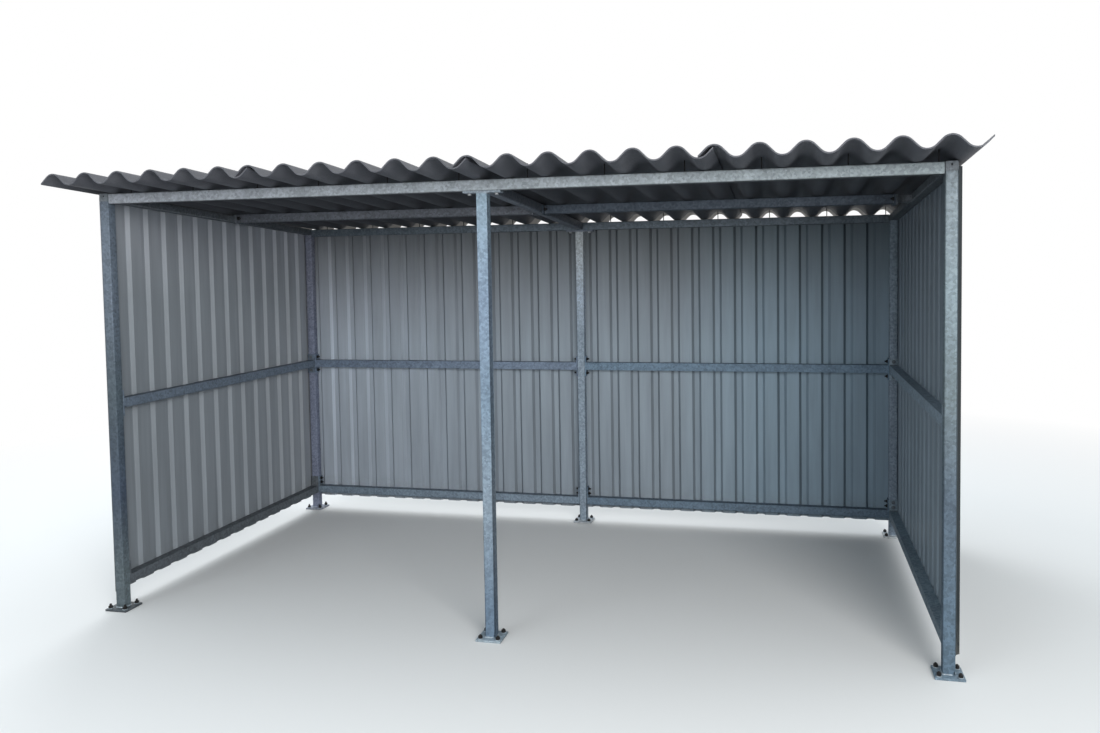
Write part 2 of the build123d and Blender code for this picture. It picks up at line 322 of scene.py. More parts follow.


# Cladding: inside tones by the place along an axis (0 across, 1 in depth, 2 up) and by height,
# which are painted light and shade on the walls, then how much lighter or darker the ribs' sides
# are painted, as painted light and shade, with what changes along the back wall
claddingLook = {
    "insideTonesAndPaintedLight": {
        "left_": (1, [
            (-0.9, (0.31, 0.345, 0.38)), (0.3, (0.335, 0.37, 0.41)), (1.0, (0.395, 0.43, 0.475)),
        ]),
        "right_": (2, [(0.4, (0.250, 0.305, 0.350)), (1.9, (0.185, 0.220, 0.255))]),
        "rear_": (0, [
            (-2.0, (0.44, 0.47, 0.52)), (-0.45, (0.30, 0.33, 0.365)), (0.6, (0.29, 0.325, 0.36)),
            (1.2, (0.295, 0.37, 0.43)),
        ]),
    },
    "footToHeadPaintedShade": {
        "left_": [(0.3, 0.71), (1.2, 0.75), (1.6, 0.79), (1.95, (1.00, 0.97, 0.98))],
        "right_": [(0, (1.0, 1.0, 1.0))],
        "rear_": [
            (0.35, (0.80, 0.84, 0.87)), (1.2, (0.92, 0.97, 1.00)), (1.5, (0.88, 0.90, 0.92)),
            (1.8, (0.71, 0.71, 0.70)), (1.98, (0.51, 0.51, 0.50)),
        ],
    },
    "chalkScale": 16,
    "speckleScale": 260,
    "softScale": 2.2,
    "streakScale": 48,
    "splashScale": 38,
    "chalked": 1.25,
    "outside": (0.015, 0.020, 0.023),
    "outsideChalked": (0.032, 0.039, 0.043),
    "streakShade": 0.72,
    "streakShare": 0.30,
    "splash": (0.17, 0.165, 0.15),
    "splashHeight": 0.26,
    "splashShare": 0.4,
    "roughness": (0.36, 0.50),
    "outsideRougher": 0.16,
    "specularLevel": 0.3,
    "ribSidePaintedShading": {"left_": 1.08, "right_": 1.0, "rear_": 0.74},
    "rearPaintedShadeDrift": {"from": 0.5, "to": 1.2, "by": 0.14},
    "rearPaintedLightGlow": {"from": -0.5, "to": -1.9, "by": 0.6},
}


def ribSidePaintedGain(tree, point, wall):
    # painted light and shade on the ribs' sides; on the back wall the sides that look right are
    # painted darker to the right and lighter to the left
    look = claddingLook
    gain = look["ribSidePaintedShading"][wall]
    if wall != "rear_":
        return gain
    across = axisOf(tree, point, 0)
    paintedShadeDrift, paintedLightGlow = (
        rescale(tree, across, change["from"], change["to"], 0, change["by"])
        for change in (look["rearPaintedShadeDrift"], look["rearPaintedLightGlow"]))
    side = rescale(tree, facingOf(tree, (1, 0, 0)), -0.3, 0.3, -1, 1)
    gain = arithmetic(tree, "SUBTRACT", gain, times(tree, side, paintedShadeDrift))
    return plus(tree, gain, times(tree, arithmetic(tree, "MAXIMUM", side, 0.0), paintedLightGlow))


def cladding(name, wall, outward):
    # coil-coated steel, grey inside and anthracite outside: chalking in soft upright streaks, fine
    # orange peel, dirt splashed up the foot, painted light and shade in the inside's tone along the
    # wall and up it, and painted light and shade that make the ribs' sides lighter or darker than
    # the pans
    material, tree, shader = newMaterial(name)
    look = claddingLook
    point = surfacePoint(tree)
    chalk = noise(tree, surfacePoint(tree, (1, 1, 0.08)), look["chalkScale"], 4, 0.55)
    chalk = rescale(tree, chalk, 0.35, 0.75)
    speckle = noise(tree, point, look["speckleScale"], 2, 0.6)
    soft = noise(tree, point, look["softScale"], 3, 0.5)
    upright = surfacePoint(tree, (1, 1, 0.03), (3, 5, 1))
    streaks = noise(tree, upright, look["streakScale"], 3, 0.6)
    splashes = noise(tree, point, look["splashScale"], 5, 0.7)
    # the two sides of the sheet
    # the inside's tone along the wall and its change by height are painted light and shade
    inside = rampAlong(tree, point, *look["insideTonesAndPaintedLight"][wall])
    inside = scaled(tree, inside, rescale(tree, chalk, 0, 1, 1.0, look["chalked"]))
    height = rampAlong(tree, point, 2, look["footToHeadPaintedShade"][wall])
    inside = blendColours(tree, 1.0, inside, height, "MULTIPLY")
    outside = blendColours(tree, chalk, look["outside"], look["outsideChalked"])
    facing = facingOf(tree, outward)
    base = blendColours(tree, rescale(tree, facing, -0.05, 0.05), inside, outside)
    # streaks, painted light and shade on the ribs' sides, and the splashed foot
    streaked = rescale(tree, streaks, 0.60, 0.80, 0, look["streakShare"])
    shade = blendColours(tree, streaked, (1.0,) * 3, (look["streakShade"],) * 3)
    base = blendColours(tree, 1.0, base, shade, "MULTIPLY")
    bend = times(
        tree, rescale(tree, facing, -0.95, -0.7), rescale(tree, facing, -0.05, -0.3))
    sides = scaled(tree, base, ribSidePaintedGain(tree, point, wall))
    base = blendColours(tree, bend, base, sides)
    low = rescale(tree, axisOf(tree, point, 2), look["splashHeight"], 0.10, 0.0, 1.0)
    splash = times(tree, low, rescale(tree, splashes, 0.38, 0.66))
    base = blendColours(tree, times(tree, splash, look["splashShare"]), base, look["splash"])
    # duller where it is chalked and on the outside
    dullness = plus(
        tree, rescale(tree, chalk, 0, 1, *look["roughness"]),
        rescale(tree, speckle, 0.3, 0.7, -0.04, 0.04))
    outer = rescale(tree, facing, -0.05, 0.05, 0.0, look["outsideRougher"])
    peel = bump(tree, speckle, 0.0002, 0.3)
    feed(tree, shader, {
        "Base Color": base,
        "Roughness": plus(tree, dullness, outer),
        "Specular IOR Level": look["specularLevel"],
        "Normal": bump(tree, soft, 0.02, 0.16, peel),
    })
    return material


roofLook = {
    "grainScale": 330,
    "fibreScale": 240,
    "patchScale": 5,
    "poreScale": 210,
    "roughness": (0.52, 0.72),
    "body": (0.056, 0.059, 0.070),
    "worn": (0.112, 0.115, 0.128),
    "bloom": (0.23, 0.235, 0.25),
    "bloomShare": 0.30,
    "paintedLightUnderFront": 1.75,
    "paintedShadeUnderBack": 0.88,
    "frontTo": -0.86,
    "frontFrom": -0.98,
    "paintedBackLight": (0.56, 0.51, 0.455),
    "paintedBackLightShare": 0.85,
    "paintedBackLightFrom": 1.055,
    "paintedBackLightTo": 1.085,
}


def roofCement(name):
    # anthracite fibre cement: cement grain, worn tops, pale bloom lying in uneven patches; on the
    # underside painted light where it hangs out over the front, painted shade behind the beam, and
    # a pale buff painted light where it hangs out behind the back wall
    material, tree, shader = newMaterial(name)
    look = roofLook
    point = surfacePoint(tree)
    depth = axisOf(tree, point, 1)
    grain = noise(tree, point, look["grainScale"], 4, 0.7)
    fibres = noise(tree, surfacePoint(tree, (1, 0.08, 1)), look["fibreScale"], 2, 0.6)
    patches = noise(tree, surfacePoint(tree, (1, 0.35, 1)), look["patchScale"], 5, 0.65, 0.4)
    pores = cells(tree, point, look["poreScale"], "Distance")
    base = blendColours(tree, rescale(tree, grain, 0.35, 0.75), look["body"], look["worn"])
    bloom = times(
        tree, rescale(tree, patches, 0.48, 0.72), rescale(tree, fibres, 0.3, 0.7, 0.3, 1.0))
    base = blendColours(tree, times(tree, bloom, look["bloomShare"]), base, look["bloom"])
    # painted light and shade on the underside: lighter under the front overhang, darker behind the
    # beam
    underPaintedLightAndShade = rescale(
        tree, depth, look["frontFrom"], look["frontTo"], look["paintedLightUnderFront"], look["paintedShadeUnderBack"])
    downward = rescale(tree, facingOf(tree, (0, 0, 1)), 0.15, -0.15)
    gain = times(tree, downward, arithmetic(tree, "SUBTRACT", underPaintedLightAndShade, 1.0))
    base = scaled(tree, base, plus(tree, gain, 1.0))
    # painted light: a pale buff underside where it hangs out behind the back wall
    behind = rescale(tree, depth, look["paintedBackLightFrom"], look["paintedBackLightTo"], 0, look["paintedBackLightShare"])
    paintedBackLight = rescale(tree, grain, 0.3, 0.7, 0.75, 1.0)
    paintedBackLight = blendColours(tree, paintedBackLight, look["body"], look["paintedBackLight"])
    base = blendColours(tree, times(tree, behind, downward), base, paintedBackLight)
    pitted = bump(tree, pores, 0.0006, 0.4)
    feed(tree, shader, {
        "Base Color": base,
        "Roughness": rescale(tree, grain, 0.3, 0.7, *look["roughness"]),
        "Normal": bump(tree, grain, 0.0012, 0.5, pitted),
    })
    return material


fixingLooks = {
    # nuts and heads that have gone dark, with a little bare metal left in the grain
    "darkSteel": {
        "scale": 500, "detail": 3, "metallic": 0.6, "roughness": (0.45, 0.65),
        "stops": [(0.35, (0.012, 0.013, 0.016)), (0.72, (0.07, 0.065, 0.06))],
        "bumpDistance": 0.0003, "bumpStrength": 0.5,
    },
    # zinc-plated heads and washers
    "zincPlate": {
        "scale": 420, "detail": 3, "metallic": 0.7, "roughness": (0.30, 0.50),
        "stops": [(0.3, (0.36, 0.38, 0.40)), (0.7, (0.60, 0.62, 0.63))],
        "bumpDistance": 0.0002, "bumpStrength": 0.4,
    },
    # rubber of caps and seals, dusty
    "sealRubber": {
        "scale": 150, "detail": 4, "metallic": 0.0, "roughness": (0.55, 0.80),
        "stops": [(0.4, (0.012, 0.012, 0.013)), (0.8, (0.06, 0.058, 0.055))],
        "bumpDistance": 0.0003, "bumpStrength": 0.3,
    },
}


def fixingMaterial(name):
    # one grain gives the colour, the roughness and the fine bump
    material, tree, shader = newMaterial(name)
    look = fixingLooks[name]
    grain = noise(tree, surfacePoint(tree), look["scale"], look["detail"], 0.6)
    feed(tree, shader, {
        "Base Color": ramp(tree, grain, look["stops"]),
        "Metallic": look["metallic"],
        "Roughness": rescale(tree, grain, 0.3, 0.7, *look["roughness"]),
        "Normal": bump(tree, grain, look["bumpDistance"], look["bumpStrength"]),
    })
    return material


# Tone of each zinc member by the place along its axis, painted light and shade: each member is a
# lit or shaded copy of the zinc, darker where it stands in shade and lighter where light falls on
# it, with the shares that its underside, upper side and right-hand side are painted darker by,
# lighter where below zero; a post's foot plate and head plate have their own painted tones
memberZincPaintedLight = {
    "front_left_post": {
        "right": -0.4, "foot": (0.08, 0.09, 0.10),
        "stops": [
            (0.20, (0.115, 0.145, 0.16)), (0.60, (0.06, 0.08, 0.115)),
            (1.10, (0.075, 0.10, 0.12)), (1.60, (0.125, 0.155, 0.195)),
        ]},
    "front_middle_post": {
        "right": 0.28, "foot": (0.375, 0.455, 0.51), "head": (0.30, 0.35, 0.40),
        "stops": [
            (0.14, (0.155, 0.22, 0.30)), (0.62, (0.28, 0.35, 0.42)),
            (1.10, (0.20, 0.275, 0.355)), (1.60, (0.23, 0.305, 0.405)),
            (2.03, (0.28, 0.375, 0.455)),
        ]},
    "front_right_post": {
        "foot": (0.21, 0.285, 0.35),
        "stops": [
            (0.15, (0.115, 0.17, 0.225)), (0.75, (0.10, 0.135, 0.175)),
            (1.16, (0.15, 0.19, 0.21)), (1.57, (0.20, 0.255, 0.285)),
            (2.10, (0.19, 0.225, 0.25)),
        ]},
    "rear_left_post": {
        "foot": (0.305, 0.33, 0.37),
        "stops": [
            (1.20, (0.24, 0.27, 0.365)), (1.70, (0.29, 0.31, 0.40)),
        ]},
    "rear_middle_post": {
        "foot": (0.43, 0.46, 0.49), "head": (0.21, 0.24, 0.295),
        "stops": [
            (1.26, (0.275, 0.34, 0.41)), (1.54, (0.47, 0.56, 0.665)),
            (1.90, (0.55, 0.595, 0.62)),
        ]},
    "rear_right_post": {
        "foot": (0.58, 0.60, 0.60),
        "stops": [
            (1.00, (0.235, 0.29, 0.355)), (1.90, (0.27, 0.34, 0.40)),
        ]},
    "front_beam": {
        "axis": 0, "under": 0.72,
        "stops": [
            (-2.00, (0.36, 0.385, 0.425)), (-0.60, (0.39, 0.425, 0.46)),
            (0.90, (0.395, 0.445, 0.475)), (1.90, (0.27, 0.315, 0.335)),
        ]},
    "rear_beam": {"under": 0.5, "stops": [(0.00, (0.185, 0.225, 0.265))]},
    "eave_rail": {"under": 0.2, "stops": [(0.00, (0.16, 0.18, 0.20))]},
    "centre_rafter": {"under": -0.35, "stops": [(0.00, (0.125, 0.14, 0.165))]},
    "left_purlin": {"under": 0.4, "stops": [(0.00, (0.17, 0.185, 0.215))]},
    "right_purlin": {"under": 0.4, "stops": [(0.00, (0.095, 0.12, 0.155))]},
    "rear_left_middle_rail": {"paintedTopShade": 0.4, "stops": [(0.00, (0.19, 0.245, 0.33))]},
    "rear_right_middle_rail": {"paintedTopShade": 0.4, "stops": [(0.00, (0.165, 0.24, 0.32))]},
    "rear_left_bottom_rail": {"paintedTopShade": 0.4, "stops": [(0.00, (0.21, 0.27, 0.335))]},
    "rear_right_bottom_rail": {"paintedTopShade": 0.4, "stops": [(0.00, (0.15, 0.21, 0.275))]},
    "left_middle_rail": {"paintedTopShade": 0.35, "stops": [(0.00, (0.17, 0.215, 0.275))]},
    "left_bottom_rail": {"paintedTopShade": 0.35, "stops": [(0.00, (0.145, 0.165, 0.185))]},
    "right_middle_rail": {"stops": [(0.00, (0.285, 0.355, 0.415))]},
    "right_bottom_rail": {"stops": [(0.00, (0.225, 0.29, 0.34))]},
}


def memberPaint(key, look):
    # the plates' tones go over to the tube's within two millimetres above and below them
    merge = 0.002
    stops = list(look["stops"])
    if "foot" in look:
        top = frameSizes["footPlate"] + merge / 2
        stops = [(0, look["foot"]), (top, look["foot"]), (top + merge, stops[0][1])] + stops
    if "head" in look:
        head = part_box(key)[1].z
        underside = head - frameSizes["headPlate"]
        stops.append((underside - merge, stops[-1][1]))
        stops += [(underside, look["head"]), (head, look["head"])]
    # the painted shade shares of the underside, the upper side and the right-hand side
    shares = [look.get(side, 0) for side in ("under", "paintedTopShade", "right")]
    return galvanised("zinc_" + key, stops, look.get("axis", 2), *shares)


# each member's own material: a lit or shaded copy of the zinc, painted light and shade
memberPaints = {key: memberPaint(key, look) for key, look in memberZincPaintedLight.items()}
weldZinc = galvanised("zinc_welds", [(0, (0.40, 0.46, 0.50))])
# a darker copy of the zinc, painted shade, for the frame nodes' slot and the welds and bolts on the
# rails and purlins
shadedZinc = galvanised("zinc_shaded", [(0, (0.155, 0.175, 0.195))])
wallPaints = {
    "left_": cladding("leftCladding", "left_", (-1, 0, 0)),
    "right_": cladding("rightCladding", "right_", (1, 0, 0)),
    "rear_": cladding("rearCladding", "rear_", (0, 1, 0)),
}
slotLooks = {"galvanised": shadedZinc, "roof_cement": roofCement("roofSheetCement")}
darkSteel, zincPlate, sealRubber = (
    fixingMaterial(name) for name in ("darkSteel", "zincPlate", "sealRubber"))

for row in frame["record"]["subparts"]:
    slotLook = slotLooks.get(row["material_slot"])
    if slotLook is None:
        slotLook = next(
            paint for wall, paint in wallPaints.items() if row["node"].startswith(wall))
    mesh = nodes[row["node"]].data
    if not mesh.materials:
        mesh.materials.append(None)
    for i in range(len(mesh.materials)):
        mesh.materials[i] = slotLook
print("materials made")


# Turned pieces: a closed profile about an axis, round or six-sided, repeated at many places
def turnedShape(rows, sides):
    # each row is (height, radius, half the width across flats or 0 where it is round); around the
    # axis the radius is the smaller of the row's own and flat / cos(angle from the flat's middle)
    noFlat = 10.0
    heights = np.array([row[0] for row in rows], float)
    radii = np.array([row[1] for row in rows], float)
    flats = np.array([row[2] or noFlat for row in rows], float)
    angle = np.arange(sides) * 2 * pi / sides
    fromFlat = (angle + pi / 6) % (pi / 3) - pi / 6
    reach = np.minimum(radii[:, None], flats[:, None] / np.cos(fromFlat)[None, :])
    grid = np.stack([
        reach * np.cos(angle)[None, :],
        reach * np.sin(angle)[None, :],
        np.repeat(heights[:, None], sides, axis=1),
    ], axis=-1)
    points = np.concatenate([grid.reshape(-1, 3), [[0, 0, heights[0]], [0, 0, heights[-1]]]])
    row, side = np.meshgrid(np.arange(len(rows) - 1), np.arange(sides), indexing="ij")
    following = (side + 1) % sides
    quads = np.stack([
        row * sides + side, row * sides + following,
        (row + 1) * sides + following, (row + 1) * sides + side,
    ], axis=-1).reshape(-1, 4)
    ring = np.arange(sides)
    foot = len(points) - 2
    top = foot + 1
    lastRow = (len(rows) - 1) * sides
    lower = np.stack([np.full(sides, foot), (ring + 1) % sides, ring], axis=-1)
    upper = np.stack([np.full(sides, top), lastRow + ring, lastRow + (ring + 1) % sides], axis=-1)
    return points, [quads, np.concatenate([lower, upper])]


def axesAlong(direction):
    # a turning that takes +Z to the direction
    return np.array(Vector((0, 0, 1)).rotation_difference(Vector(direction)).to_matrix())


def addPiece(name, mesh, material, sharpAngle):
    # shaded smooth but for edges sharper than the angle; it rides on the frame
    mesh.shade_smooth()
    mesh.set_sharp_from_angle(angle=radians(sharpAngle))
    mesh.materials.clear()
    mesh.materials.append(material)
    piece = bpy.data.objects.new(name, mesh)
    scene.collection.objects.link(piece)
    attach(piece, "root")
    return piece


def meshPiece(name, points, faceSets, material):
    mesh = bpy.data.meshes.new(name)
    faces = [face for group in faceSets for face in group.tolist()]
    mesh.from_pydata(points.tolist(), [], faces)
    addPiece(name, mesh, material, 35)


def repeated(name, rows, sides, places, directions, material, spin=0.0):
    # one turned shape at every place, its axis along that place's direction
    shape, faceSets = turnedShape(rows, sides)
    spun = np.array(Matrix.Rotation(spin, 3, "Z"))
    turned = [axesAlong(direction) @ spun for direction in directions]
    points = np.einsum("nij,pj->npi", np.array(turned), shape)
    points += np.array(places, float)[:, None, :]
    offsets = np.arange(len(places))[:, None, None] * len(shape)
    faceSets = [(group[None] + offsets).reshape(-1, group.shape[1]) for group in faceSets]
    meshPiece(name, points.reshape(-1, 3), faceSets, material)


def hexRows(across, height, low=0.0):
    # a six-sided nut or head, both rims chamfered
    half = across / 2
    corner = half / cos(pi / 6)
    rim, chamfer = half * 0.96, (corner - half) / 2
    return [
        (low, rim, half),
        (low + chamfer, corner, half),
        (low + height - chamfer, corner, half),
        (low + height, rim, half),
    ]


def screwHeadRows(across, low, high, chamfer, rimShare):
    # a screw's small six-sided head, its upper rim chamfered
    half = across / 2
    corner = half / cos(pi / 6)
    return [(low, corner, half), (high - chamfer, corner, half), (high, half * rimShare, half)]


def roundRows(radius, height, low=0.0, rim=0.0004):
    # a disc or stem with softened rims
    return [
        (low, radius - rim, 0),
        (low + rim, radius, 0),
        (low + height - rim, radius, 0),
        (low + height, radius - rim, 0),
    ]


def threadRows(radius, start, end, pitch, depth):
    # rings at the thread's pitch, their radius going up and down
    count = int((end - start) / pitch) * 2
    levels = np.linspace(start, end, count + 1)
    swell = np.where(np.arange(count + 1) % 2 == 0, radius - depth, radius)
    return [(z, r, 0) for z, r in zip(levels, swell)]


# Rounded tubes: each galvanised member is shown by a merged copy whose corners are rounded
tubeEdge = {
    "longEdge": 0.3,
    "plateEdge": 0.035,
    "plateRadius": 0.0012,
    "squareWithin": 0.12,
    "mergeWithin": 0.00002,
    "flatWithin": 0.5,
    "beamGap": 0.0028,
    "beamEnd": 0.001,
    "sharpAngle": 32,
}


def roundCorners(shape, shortest, longest, radius, segments):
    # bevels the outward square corners whose length lies between the two given
    edges = [
        edge for edge in shape.edges
        if len(edge.link_faces) == 2 and edge.is_convex
        and abs(edge.calc_face_angle() - pi / 2) < tubeEdge["squareWithin"]
        and shortest <= edge.calc_length() < longest
    ]
    bmesh.ops.bevel(
        shape, geom=edges, offset=radius, offset_type="OFFSET", segments=segments,
        profile=0.5, affect="EDGES", clamp_overlap=False)


def mergedCopy(name):
    # a beam's ends stand a little clear of the corner posts, which shows as a dark joint
    mesh = nodes[name].data.copy()
    if name.endswith("_beam"):
        flat = np.empty(len(mesh.vertices) * 3)
        mesh.vertices.foreach_get("co", flat)
        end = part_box(name)[1].x
        along = flat[0::3]
        moved = np.sign(along) * (end - tubeEdge["beamGap"])
        flat[0::3] = np.where(np.abs(along) > end - tubeEdge["beamEnd"], moved, along)
        mesh.vertices.foreach_set("co", flat)
    shape = bmesh.new()
    shape.from_mesh(mesh)
    bpy.data.meshes.remove(mesh)
    bmesh.ops.remove_doubles(shape, verts=shape.verts, dist=tubeEdge["mergeWithin"])
    flatAngle = radians(tubeEdge["flatWithin"])
    bmesh.ops.dissolve_limit(
        shape, angle_limit=flatAngle, verts=shape.verts, edges=shape.edges)
    return shape


def roundedMember(name):
    shape = mergedCopy(name)
    long, short = tubeEdge["longEdge"], tubeEdge["plateEdge"]
    roundCorners(shape, long, 10.0, frameSizes["tubeCorner"], 4)
    roundCorners(shape, short, long, tubeEdge["plateRadius"], 2)
    mesh = bpy.data.meshes.new(name + "_rounded")
    shape.to_mesh(mesh)
    shape.free()
    paint = next(paint for key, paint in memberPaints.items() if key in name)
    piece = addPiece(name + "_rounded", mesh, paint, tubeEdge["sharpAngle"])
    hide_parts(name)


for row in frame["record"]["subparts"]:
    if row["material_slot"] == "galvanised":
        roundedMember(row["node"])
print("tubes rounded")


# Weld beads: a rippled round bead laid in the corner between a tube and its plate
weld = {
    "radius": 0.0034,
    "ripple": 0.16,
    "pitch": 0.0052,
    "step": 0.0018,
    "sections": 8,
    "endShare": 0.12,
    "lift": 0.0006,
    "railInset": 0.003,
    "headReach": 0.021,
    "purlinReach": 0.022,
    "purlinRise": (0.003, 0.045),
}


def beadPoints(path, outward, axis, closed):
    # point = path + r * (cos a * outward + sin a * axis), r swelling with |sin(pi * run / pitch)|
    w = weld
    steps = np.linalg.norm(np.diff(path, axis=0), axis=1)
    run = np.concatenate([[0], np.cumsum(steps)])
    swell = 1 - w["ripple"] + w["ripple"] * np.abs(np.sin(pi * run / w["pitch"]))
    if not closed:
        toEnd = np.minimum(run, run[-1] - run) / w["radius"]
        swell = swell * np.sqrt(np.clip(w["endShare"] + toEnd, 0, 1))
    angle = np.arange(w["sections"]) * 2 * pi / w["sections"]
    reach = (w["radius"] * swell)[:, None, None]
    around = np.cos(angle)[None, :, None] * outward[:, None, :]
    around = around + np.sin(angle)[None, :, None] * axis
    return path[:, None, :] + reach * around


def beadFaces(count, closed):
    # quads between the sections, and an end fan on both ends of an open bead
    sections = weld["sections"]
    rows = count if closed else count - 1
    row, side = np.meshgrid(np.arange(rows), np.arange(sections), indexing="ij")
    later = (row + 1) % count
    beside = (side + 1) % sections
    quads = np.stack([
        row * sections + side, later * sections + side,
        later * sections + beside, row * sections + beside,
    ], axis=-1).reshape(-1, 4)
    faces = [quads[:, ::-1]]
    if not closed:
        ring = np.arange(sections)
        faces += [ring[None, :], ((count - 1) * sections + ring)[None, ::-1]]
    return faces


def addBead(beads, path, outward, axis, closed=False):
    # direction round the bead is checked, so that its faces look outward
    along = path[1] - path[0]
    if np.dot(np.cross(outward[0], axis), along) < 0:
        path, outward = path[::-1], outward[::-1]
    beads.append((beadPoints(path, outward, np.array(axis, float), closed), closed))


def beadPiece(name, beads, material):
    points, faceSets, start = [], [], 0
    for grid, closed in beads:
        points.append(grid.reshape(-1, 3))
        faceSets += [group + start for group in beadFaces(len(grid), closed)]
        start += grid.shape[0] * grid.shape[1]
    meshPiece(name, np.concatenate(points), faceSets, material)


def straightBead(beads, start, end, outward, axis):
    # from corner to corner of one face of the tube
    start, end = np.array(start, float), np.array(end, float)
    count = int(np.linalg.norm(end - start) / weld["step"]) + 2
    share = np.linspace(0, 1, count)[:, None]
    lift = weld["lift"] * (np.array(outward, float) + np.array(axis, float))
    path = start + share * (end - start) + lift
    addBead(beads, path, np.tile(np.array(outward, float), (count, 1)), axis)


def footBead(beads, centre):
    # round the tube's foot from one side of the drain notch to the other, the corners rounded
    corner, notch, lift = frameSizes["tubeCorner"], frameSizes["drainNotch"], weld["lift"]
    inner = halfTube - corner
    path, outward = [(halfTube, -halfTube + notch)], [(1, 0)]
    for signX, signY, quarter in ((1, 1, 0), (-1, 1, 1), (-1, -1, 2)):
        for angle in (quarter + np.linspace(0, 1, 6)) * pi / 2:
            path.append((signX * inner + corner * cos(angle), signY * inner + corner * sin(angle)))
            outward.append((cos(angle), sin(angle)))
    path.append((halfTube - notch, -halfTube))
    outward.append((0, -1))
    path, outward = np.array(path), np.array(outward)
    run = np.concatenate([[0], np.cumsum(np.linalg.norm(np.diff(path, axis=0), axis=1))])
    fine = np.linspace(0, run[-1], int(run[-1] / weld["step"]))
    path = np.stack([np.interp(fine, run, path[:, i]) for i in (0, 1)], axis=1)
    outward = np.stack([np.interp(fine, run, outward[:, i]) for i in (0, 1)], axis=1)
    path = np.column_stack([path + lift * outward, np.full(len(fine), lift)]) + np.array(centre)
    outward = np.column_stack([outward, np.zeros(len(fine))])
    addBead(beads, path, outward, (0, 0, 1))


def railEnds(name):
    # at both end plates' inner faces: x and y on the rail's axis, direction away from the plate
    low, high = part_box(name)
    plate = frameSizes["endPlate"]
    if high.x - low.x > high.y - low.y:
        middle = (low.y + high.y) / 2
        return [((low.x + plate, middle), (1, 0, 0)), ((high.x - plate, middle), (-1, 0, 0))]
    middle = (low.x + high.x) / 2
    return [((middle, low.y + plate), (0, 1, 0)), ((middle, high.y - plate), (0, -1, 0))]


def postWelds(name):
    # round the foot, and on both sides under a head plate
    low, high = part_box(name)
    middle = (low + high) / 2
    beads = []
    footBead(beads, (middle.x, middle.y, frameSizes["footPlate"]))
    if "middle" in name:
        underside, reach = high.z - frameSizes["headPlate"], weld["headReach"]
        for side in (-1, 1):
            x = middle.x + side * halfTube
            ends = (x, middle.y - reach, underside), (x, middle.y + reach, underside)
            straightBead(beads, *ends, (side, 0, 0), (0, 0, -1))
    beadPiece(name + "_welds", beads, weldZinc)


def railWelds(name):
    # along the tube's upper side, and on a middle rail along its underside too, at both ends
    low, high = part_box(name)
    isMiddle, inset = "middle_rail" in name, weld["railInset"]
    base = (low.z + high.z) / 2 - halfTube if isMiddle else low.z
    beads = []
    for (x, y), direction in railEnds(name):
        for side in ((-1, 1) if isMiddle else (1,)):
            height = base + halfTube + side * halfTube
            if direction[0]:
                ends = (x, low.y + inset, height), (x, high.y - inset, height)
            else:
                ends = (low.x + inset, y, height), (high.x - inset, y, height)
            straightBead(beads, *ends, (0, 0, side), direction)
    beadPiece(name + "_welds", beads, shadedZinc)


def purlinWelds(name):
    # up both sides of the tube and along its underside, at both ends
    low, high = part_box(name)
    middle = (low + high) / 2
    base = low.z + frameSizes["purlinPlateDrop"]
    lower, upper = (base + rise for rise in weld["purlinRise"])
    reach = weld["purlinReach"]
    beads = []
    for (x, y), direction in railEnds(name):
        for side in (-1, 1):
            beside = middle.y + side * halfTube
            straightBead(beads, (x, beside, lower), (x, beside, upper), (0, side, 0), direction)
        ends = (x, middle.y - reach, base), (x, middle.y + reach, base)
        straightBead(beads, *ends, (0, 0, -1), direction)
    beadPiece(name + "_welds", beads, shadedZinc)


for name in postNames:
    postWelds(name)
for name in railNames:
    railWelds(name)
for name in purlinNames:
    purlinWelds(name)
print("welds made")


# Anchor bolts: washer, nut and stud end at each hole of the foot plates
anchor = {
    "holeSpacing": 0.085,
    "washerRadius": 0.0120,
    "washerHeight": 0.0025,
    "nutAcross": 0.0185,
    "nutHeight": 0.0115,
    "studRadius": 0.0058,
    "studRise": 0.0045,
    "longStudRise": 0.0095,
    "threadPitch": 0.00175,
    "threadDepth": 0.0007,
    "tipHeight": 0.001,
    "tipShare": 0.7,
    "turnEach": 0.3,
}


def anchorRows(rise):
    a = anchor
    nutBase = a["washerHeight"]
    nutTop = nutBase + a["nutHeight"]
    studTop = nutTop + rise
    nut = hexRows(a["nutAcross"], a["nutHeight"], nutBase)
    stud = threadRows(a["studRadius"], nutTop, studTop, a["threadPitch"], a["threadDepth"])
    return nut + stud + [(studTop + a["tipHeight"], a["studRadius"] * a["tipShare"], 0)]


def anchorBolts(name):
    # nuts turned differently from post to post; the studs of the left posts stand out further
    low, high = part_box(name)
    middle = (low + high) / 2
    reach, top = anchor["holeSpacing"] / 2, frameSizes["footPlate"]
    places = [
        (middle.x + i * reach, middle.y + j * reach, top) for i in (-1, 1) for j in (-1, 1)]
    up = [(0, 0, 1)] * len(places)
    spin = anchor["turnEach"] * (postNames.index(name) + 1)
    nuts = anchorRows(anchor["longStudRise" if "left" in name else "studRise"])
    washer = roundRows(anchor["washerRadius"], anchor["washerHeight"])
    repeated(name + "_anchors", nuts, 24, places, up, darkSteel, spin)
    repeated(name + "_washers", washer, 24, places, up, weldZinc)


for name in postNames:
    anchorBolts(name)
print("anchor bolts made")


# Frame bolts: heads with washers on the end plates of rails and purlins and under the head plates
frameBolt = {
    "washerRadius": 0.0115,
    "washerHeight": 0.002,
    "headAcross": 0.017,
    "headHeight": 0.0070,
    "tailRadius": 0.0049,
    "tailLength": 0.009,
    "tailPitch": 0.0015,
    "tailDepth": 0.0006,
    "sides": 18,
    "middleRise": 0.047,
    "bottomRise": (0.022, 0.052),
    "headPlateReach": 0.065,
}


